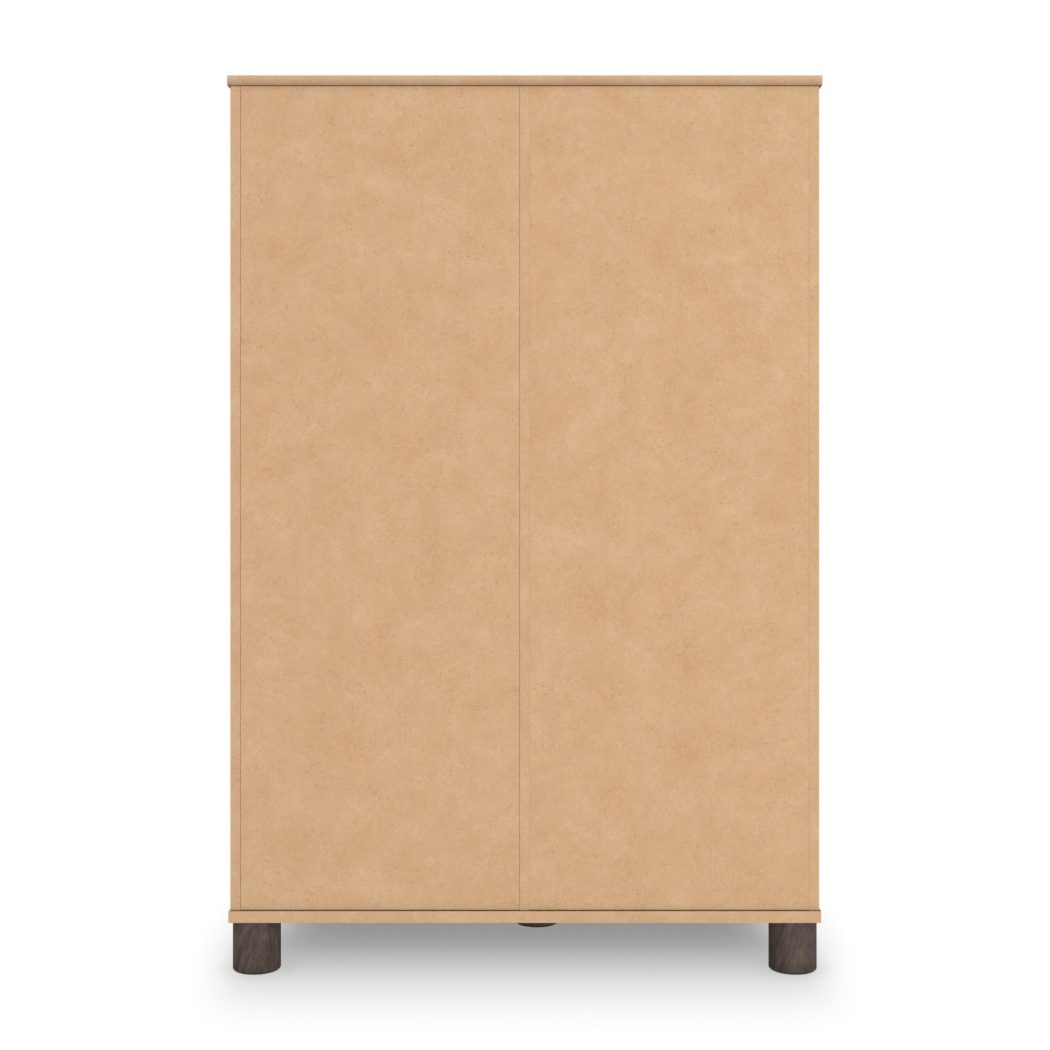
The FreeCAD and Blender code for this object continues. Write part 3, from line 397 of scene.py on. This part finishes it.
# ------------------------------------------------------------------ tidy normals and soften edges on the carried-over nodes
def tidy_group():
    g = bpy.data.node_groups.new("tidy", "GeometryNodeTree")
    g.interface.new_socket(name="Geometry", in_out="INPUT", socket_type="NodeSocketGeometry")
    g.interface.new_socket(name="Geometry", in_out="OUTPUT", socket_type="NodeSocketGeometry")
    a = g.nodes.new("NodeGroupInput")
    b = g.nodes.new("NodeGroupOutput")
    rm = g.nodes.new("GeometryNodeRemoveAttribute")
    rm.inputs["Name"].default_value = "custom_normal"
    md = g.nodes.new("GeometryNodeMergeByDistance")
    md.inputs["Distance"].default_value = 0.000002
    sh = g.nodes.new("GeometryNodeSetShadeSmooth")
    sh.domain = "FACE"
    se = g.nodes.new("GeometryNodeSetShadeSmooth")
    se.domain = "EDGE"
    g.links.new(a.outputs[0], rm.inputs[0])
    g.links.new(rm.outputs[0], md.inputs[0])
    g.links.new(md.outputs[0], sh.inputs[0])
    g.links.new(sh.outputs[0], se.inputs[0])
    g.links.new(se.outputs[0], b.inputs[0])
    return g


TIDY = tidy_group()


def soften(name, width, segments=2, angle=35.0, edge_slot=-1):
    o = NODES[name]
    m = o.modifiers.new("tidy", "NODES")
    m.node_group = TIDY
    b = o.modifiers.new("arris", "BEVEL")
    b.width = width
    b.segments = segments
    b.limit_method = "ANGLE"
    b.angle_limit = math.radians(angle)
    b.miter_outer = "MITER_ARC"
    b.use_clamp_overlap = True
    b.material = edge_slot
    w = o.modifiers.new("shade", "WEIGHTED_NORMAL")
    w.mode = "FACE_AREA"
    w.keep_sharp = False
    return o


def dress(name, *materials):
    o = NODES[name]
    o.data.materials.clear()
    for m in materials:
        o.data.materials.append(m)
    return o


# boards: which way the grain runs, and where in the figure each one is cut from
BOARDS = {
    "base_board": ("x", (0.0, 0.0, 0.0)), "top_panel": ("x", (0.9, 0.7, 0.2)),
    "left_side_panel": ("z", (1.3, 0.2, 0.1)), "right_side_panel": ("z", (2.1, 0.8, 0.5)),
    "centre_partition": ("z", (3.2, 0.1, 0.9)), "left_divider_board": ("x", (4.0, 0.6, 0.3)),
    "right_divider_board": ("x", (4.9, 0.2, 0.8)), "lower_shelf": ("x", (5.6, 0.3, 0.2)),
    "middle_shelf": ("x", (6.3, 0.9, 0.6)), "upper_shelf": ("x", (7.1, 0.5, 0.4)),
    "left_door_leaf": ("z", (8.2, 0.4, 0.7)), "right_door_leaf": ("z", (8.9, 0.4, 0.1)),
    "left_drawer_front": ("x", (9.5, 0.1, 0.3)), "right_drawer_front": ("x", (10.4, 0.1, 0.3)),
}
BARE_REAR = {"base_board": 0, "top_panel": 0, "left_side_panel": 1, "right_side_panel": -1, "centre_partition": 2}
for label, (along, shift) in BOARDS.items():
    top = label == "top_panel"
    bare = label in BARE_REAR
    # top also switches on the painted shade along the top panel's rear edge
    dress(label, board_material(label + "_finish", along, shift, bare, BARE_REAR.get(label, 0), top),
          # the last worn_edge number is the painted shade on the bare rear arris
          worn_edge(label + "_arris", shift, along, bare, 0.8 if top else 0.70))
    soften(label, 0.0011 if top else 0.0003 if label == "base_board" else 0.0007, 2, 40.0, 1)
for i, label in enumerate(("left_back_panel", "right_back_panel")):
    dress(label, raw_board(label + "_raw", (0.37 + i * 1.9, 0.61, 0.23 + i), ((0.6, 0.3, 0.2), (0.3, 0.2, 0.2))[i]))
    soften(label, 0.0003, 1, 40.0)
for i, label in enumerate(("rear_left_leg", "rear_right_leg", "front_left_leg", "front_right_leg", "centre_leg")):
    dress(label, leg_material(label + "_wood", (0.31 * i, 0.77 * i, 0.13 * i)))
    soften(label, 0.0016, 3, 40.0)

beech = pale_wood("beech_wood", "y", ((172, 128, 88), (196, 154, 112), (212, 174, 134), (140, 96, 62)))
drawer_wood = pale_wood("drawer_foil", "y", ((186, 160, 128), (203, 180, 150), (216, 196, 168), (164, 136, 104)), (0.3, 0.2, 0.9), 0.42)
drawer_back_wood = pale_wood("drawer_back_foil", "x", ((186, 160, 128), (203, 180, 150), (216, 196, 168), (164, 136, 104)), (1.3, 0.7, 0.1), 0.42)
hardboard = pale_wood("drawer_floor_foil", "x", ((176, 150, 118), (192, 168, 138), (204, 182, 152), (156, 128, 96)), (2.3, 0.1, 0.4), 0.48)
zinc_mat = zinc("zinc_plate")
hinge_mat = brushed("hinge_nickel", (146, 138, 126), 0.34, "z", 0.08)
handle_z = brushed("handle_nickel_upright", (172, 166, 156), 0.27, "z", 0.05)
handle_x = brushed("handle_nickel_level", (172, 166, 156), 0.27, "x", 0.05)
socket_mat = brushed("socket_satin", (168, 168, 166), 0.34, "none", 0.06)
chrome_mat = chrome("rod_chrome")
black = moulded("catch_black", (24, 24, 25))
felt_mat = felt("glide_felt")

for label in ("cam_locks", "cam_bolts", "leg_studs", "rod_socket_screws", "frame_hinge_screws", "cleat_screws", "shelf_pins"):
    dress(label, zinc_mat)
for label in ("dowels", "drawer_cleats"):
    dress(label, beech)
for label in ("frame_hinge_leaves", "hinge_pins"):
    dress(label, hinge_mat)
dress("hanging_rod", chrome_mat)
dress("rod_sockets", socket_mat)
dress("magnetic_catches", black)
dress("leg_glides", felt_mat)
for s in ("left", "right"):
    dress(s + "_door_hinge_leaves", hinge_mat)
    dress(s + "_door_hinge_screws", zinc_mat)
    dress(s + "_door_handle", handle_z)
    dress(s + "_door_handle_screws", zinc_mat)
    dress(s + "_door_strike_plate", zinc_mat)
    dress(s + "_drawer_handle", handle_x)
    dress(s + "_drawer_handle_screws", zinc_mat)
    for k in ("inner_side", "outer_side"):
        dress(s + "_drawer_" + k, drawer_wood)
        soften(s + "_drawer_" + k, 0.0008, 2, 40.0)
    dress(s + "_drawer_back", drawer_back_wood)
    soften(s + "_drawer_back", 0.0008, 2, 40.0)
    dress(s + "_drawer_bottom", hardboard)
    soften(s + "_drawer_bottom", 0.0005, 1, 40.0)
for label in ("drawer_cleats",):
    soften(label, 0.0008, 2, 40.0)
for label in ("magnetic_catches",):
    soften(label, 0.0010, 2, 40.0)


# ------------------------------------------------------------------ painted shade: dark strips deep in the joints of the back boards, standing for the shade in the seams
def seam_shade_material():
    n = Nodes("painted_seam_shade")
    lump = n.noise(n.co, 240.0, 3.0, 0.6)
    smear = n.noise(n.co, 45.0, 3.0, 0.6)
    # painted shade: dark brown tones that stand for the shade deep in the seams
    c = n.mix(n.map(lump, 0.3, 0.7), lin((86, 58, 34)), lin((122, 86, 52)))
    c = n.mix(n.map(smear, 0.5, 0.8, 0.0, 0.4), c, lin((60, 42, 26)))
    return n.set(color=c, rough=n.map(lump, 0.3, 0.7, 0.45, 0.7), normal=n.bump(lump, 0.3, 0.0004))


def seam_shade_strip(label, x0, x1, z0, z1, mat):
    """A thin wavering dark strip of painted shade that closes a joint some 6 mm below the surface of the boards."""
    k = 240
    pts, faces = [], []
    for i in range(k + 1):
        z = z0 + (z1 - z0) * i / k
        out = 0.2990 + 0.0006 * math.sin(i * 0.61 + x0 * 900.0) + 0.0005 * math.sin(i * 0.173 + 1.7)
        back = 0.2945 + 0.0004 * math.sin(i * 0.37 + 0.4)
        pts += [(x0, back, z), (x1, back, z), (x1, out, z), (x0, out, z)]
    for i in range(k):
        a, b = 4 * i, 4 * (i + 1)
        for j in range(4):
            m = (j + 1) % 4
            faces.append((a + j, a + m, b + m, b + j))
    faces += [(3, 2, 1, 0), (4 * k, 4 * k + 1, 4 * k + 2, 4 * k + 3)]
    me = bpy.data.meshes.new(label)
    me.from_pydata(pts, [], faces)
    me.update()
    me.materials.append(mat)
    o = bpy.data.objects.new(label, me)
    scene.collection.objects.link(o)
    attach(o, "carcass")
    return o


SEAM_SHADE = seam_shade_material()
mid, lb, rb, rs = (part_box(k) for k in ("centre_partition", "left_back_panel", "right_back_panel", "right_side_panel"))
z0, z1 = rb[0].z + 0.0005, rb[1].z - 0.0005
seam_shade_strip("seam_shade_middle_loose", mid[1].x + 0.000005, rb[0].x - 0.000005, z0, z1, SEAM_SHADE)
seam_shade_strip("seam_shade_middle_tight", lb[1].x + 0.000002, mid[0].x - 0.000002, z0, z1, SEAM_SHADE)
seam_shade_strip("seam_shade_side_loose", rb[1].x + 0.000005, rs[0].x - 0.000005, z0, z1, SEAM_SHADE)


# ------------------------------------------------------------------ stage: floor, light, camera
def floor_material():
    """White studio floor with the soft contact shadow under and just behind the body."""
    n = Nodes("floor_white")
    n.t.nodes.remove(n.shader)
    x, y, z = n.split(n.co)[:3]
    # how far a point is out from the body's footprint, front and back alike, and to the sides
    d = n.math("SUBTRACT", n.math("ABSOLUTE", n.math("SUBTRACT", y, 0.012)), 0.300)
    stops = [(-0.400, .25), (-0.258, .301), (-0.218, .318), (-0.163, .371), (-0.109, .462), (-0.058, .565), (0.001, .679), (0.015, .708),
             (0.039, .753), (0.062, .791), (0.107, .855), (0.150, .918), (0.192, .956), (0.232, .982), (0.275, 1.0)]
    depth = n.ramp(n.map(d, -0.4, 0.4), [((s + 0.4) / 0.8, grey(1.0 - v)) for s, v in stops] + [(1.0, grey(0.0))])
    ax = n.math("MULTIPLY_ADD", n.math("SUBTRACT", d, 0.06), 0.06, n.math("ABSOLUTE", x))
    near = n.ramp(n.map(ax, 0.36, 0.56), [(0.0, grey(1.0)), (0.20, grey(0.98)), (0.34, grey(0.86)), (0.45, grey(0.56)), (0.565, grey(0.26)), (0.68, grey(0.09)), (0.80, grey(0.01)), (0.9, grey(0.0))], "LINEAR")
    deep = n.ramp(n.map(n.math("ABSOLUTE", x), 0.30, 0.56), [(0.0, grey(1.0)), (0.165, grey(0.98)), (0.292, grey(0.905)), (0.385, grey(0.775)), (0.5, grey(0.55)), (0.615, grey(0.33)),
                  (0.753, grey(0.13)), (0.81, grey(0.09)), (0.873, grey(0.045)), (0.96, grey(0.0))], "LINEAR")
    wide = n.mix(n.map(d, -0.06, -0.24), near, deep)
    # the legs' own contact shadow
    lx = n.math("SUBTRACT", n.math("ABSOLUTE", x), 0.4163)
    ly = n.math("SUBTRACT", n.math("ABSOLUTE", n.math("SUBTRACT", y, 0.012)), 0.259)
    r = n.vec("LENGTH", n.join(lx, ly, 0.0))
    contact = n.math("ADD", n.map(r, 0.036, 0.080, 0.07, 0.0, True), n.map(r, 0.0350, 0.0372, 0.5, 0.0))
    dark = n.math("MULTIPLY", n.split(depth)[0], n.split(wide)[0])
    light = n.math("SUBTRACT", 1.0, dark)
    light = n.math("MULTIPLY", light, n.math("SUBTRACT", 1.0, contact))
    grain = n.map(n.noise(n.co, 40.0, 3.0, 0.6), 0.3, 0.7, 1.0, 1.004)
    path = n.node("ShaderNodeLightPath")
    seen = n.mixf(path.outputs["Is Camera Ray"], DOME * 1.25, 1.012)
    e = n.node("ShaderNodeEmission", {"Color": (1.0, 0.996, 0.99, 1.0), "Strength": n.math("MULTIPLY", n.math("MULTIPLY", light, grain), seen)})
    n.t.links.new(e.outputs[0], n.out.inputs["Surface"])
    return n.mat


def floor():
    me = bpy.data.meshes.new("studio_floor")
    k = 40.0
    me.from_pydata([(-k, -k, 0), (k, -k, 0), (k, k, 0), (-k, k, 0)], [], [(0, 1, 2, 3)])
    o = bpy.data.objects.new("studio_floor", me)
    scene.collection.objects.link(o)
    me.materials.append(floor_material())
    o.location.z = -0.0002
    return o


floor()

world = bpy.data.worlds.new("studio")
scene.world = world
world.use_nodes = True
wt = world.node_tree
wt.nodes.clear()
w_out = wt.nodes.new("ShaderNodeOutputWorld")
w_seen = wt.nodes.new("ShaderNodeBackground")
w_seen.inputs["Color"].default_value = (1.0, 1.0, 1.0, 1.0)
w_seen.inputs["Strength"].default_value = 1.02
w_lit = wt.nodes.new("ShaderNodeBackground")
w_lit.inputs["Color"].default_value = (1.0, 1.0, 1.0, 1.0)
w_lit.inputs["Strength"].default_value = DOME
w_mix = wt.nodes.new("ShaderNodeMixShader")
w_path = wt.nodes.new("ShaderNodeLightPath")
wt.links.new(w_path.outputs["Is Camera Ray"], w_mix.inputs[0])
wt.links.new(w_lit.outputs[0], w_mix.inputs[1])
wt.links.new(w_seen.outputs[0], w_mix.inputs[2])
wt.links.new(w_mix.outputs[0], w_out.inputs["Surface"])


def area(name, loc, target, size, power, color=(1, 1, 1)):
    l = bpy.data.lights.new(name, "AREA")
    l.shape = "DISK"
    l.size = size
    l.energy = power
    l.color = color
    o = bpy.data.objects.new(name, l)
    scene.collection.objects.link(o)
    o.location = loc
    o.visible_camera = False
    o.rotation_euler = (Vector(target) - Vector(loc)).to_track_quat("-Z", "Y").to_euler()
    return o


area("key_rear", (-1.6, 6.6, 1.2), (0.0, 0.3, 0.7), 3.6, KEY)
area("key_front", (1.9, -5.2, 3.0), (0.0, -0.3, 0.7), 3.6, KEY * 0.8)

# camera: level, straight at the back, at the height that shows the floor under the legs
F_PX, DIST, HEIGHT, V0, U0 = 1673.0, 2.56, 0.8073, 448.3, 524.75
cam = bpy.data.cameras.new("camera")
cam.sensor_width = 36.0
cam.sensor_height = 36.0
cam.sensor_fit = "AUTO"
cam.lens = F_PX * 36.0 / 1050.0
cam.shift_x = (525.0 - U0) / 1050.0
cam.shift_y = -(525.0 - V0) / 1050.0
cam.clip_start = 0.05
cam.clip_end = 200.0
camera = bpy.data.objects.new("camera", cam)
scene.collection.objects.link(camera)
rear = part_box("base_board")[1].y
camera.location = (0.0, rear + DIST, HEIGHT)
camera.rotation_euler = (math.radians(90), 0.0, math.radians(180))
scene.camera = camera
